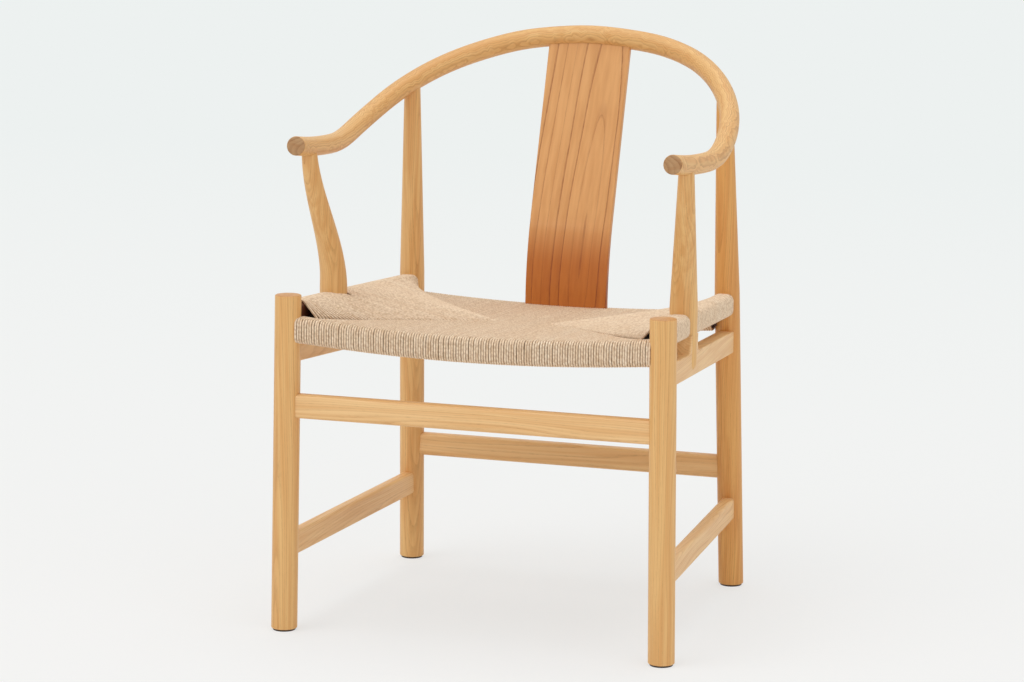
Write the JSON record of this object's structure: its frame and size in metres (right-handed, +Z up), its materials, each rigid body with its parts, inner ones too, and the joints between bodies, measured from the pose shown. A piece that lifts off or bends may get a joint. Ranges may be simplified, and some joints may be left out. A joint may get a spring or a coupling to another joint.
{
  "type": "horseshoe back armchair",
  "caption": "Wooden armchair with a bent round horseshoe back-and-arm rail, a curved splat, S-curved arm supports and a woven cord seat on round legs.",
  "frame": {"origin": "on the floor under the middle of the chair's bounding box", "axes": "+X to the chair's right as seen from the front, -Y towards the front, +Z up"},
  "size_m": [0.5668, 0.562, 0.79],
  "materials": {
    "ash": "clear satin lacquer",
    "splat_wood": "clear satin lacquer",
    "paper_cord": "natural twisted paper cord",
    "glide": "matte dark brown"
  },
  "bodies": {
    "root": {"crest_rail": "ash", "front_leg_left": "ash", "front_leg_right": "ash", "rear_post_left": "ash", "rear_post_right": "ash", "arm_support_left": "ash", "arm_support_right": "ash", "seat_rail_front": "ash", "seat_rail_rear": "ash", "seat_rail_left": "ash", "seat_rail_right": "ash", "lower_side_rail_left": "ash", "lower_side_rail_right": "ash", "stretcher_front": "ash", "stretcher_rear": "ash", "stretcher_left": "ash", "stretcher_right": "ash", "back_splat": "splat_wood", "seat_weave": "paper_cord", "foot_glide_front_left": "glide", "foot_glide_front_right": "glide", "foot_glide_rear_left": "glide", "foot_glide_rear_right": "glide"}
  },
  "joints": []
}
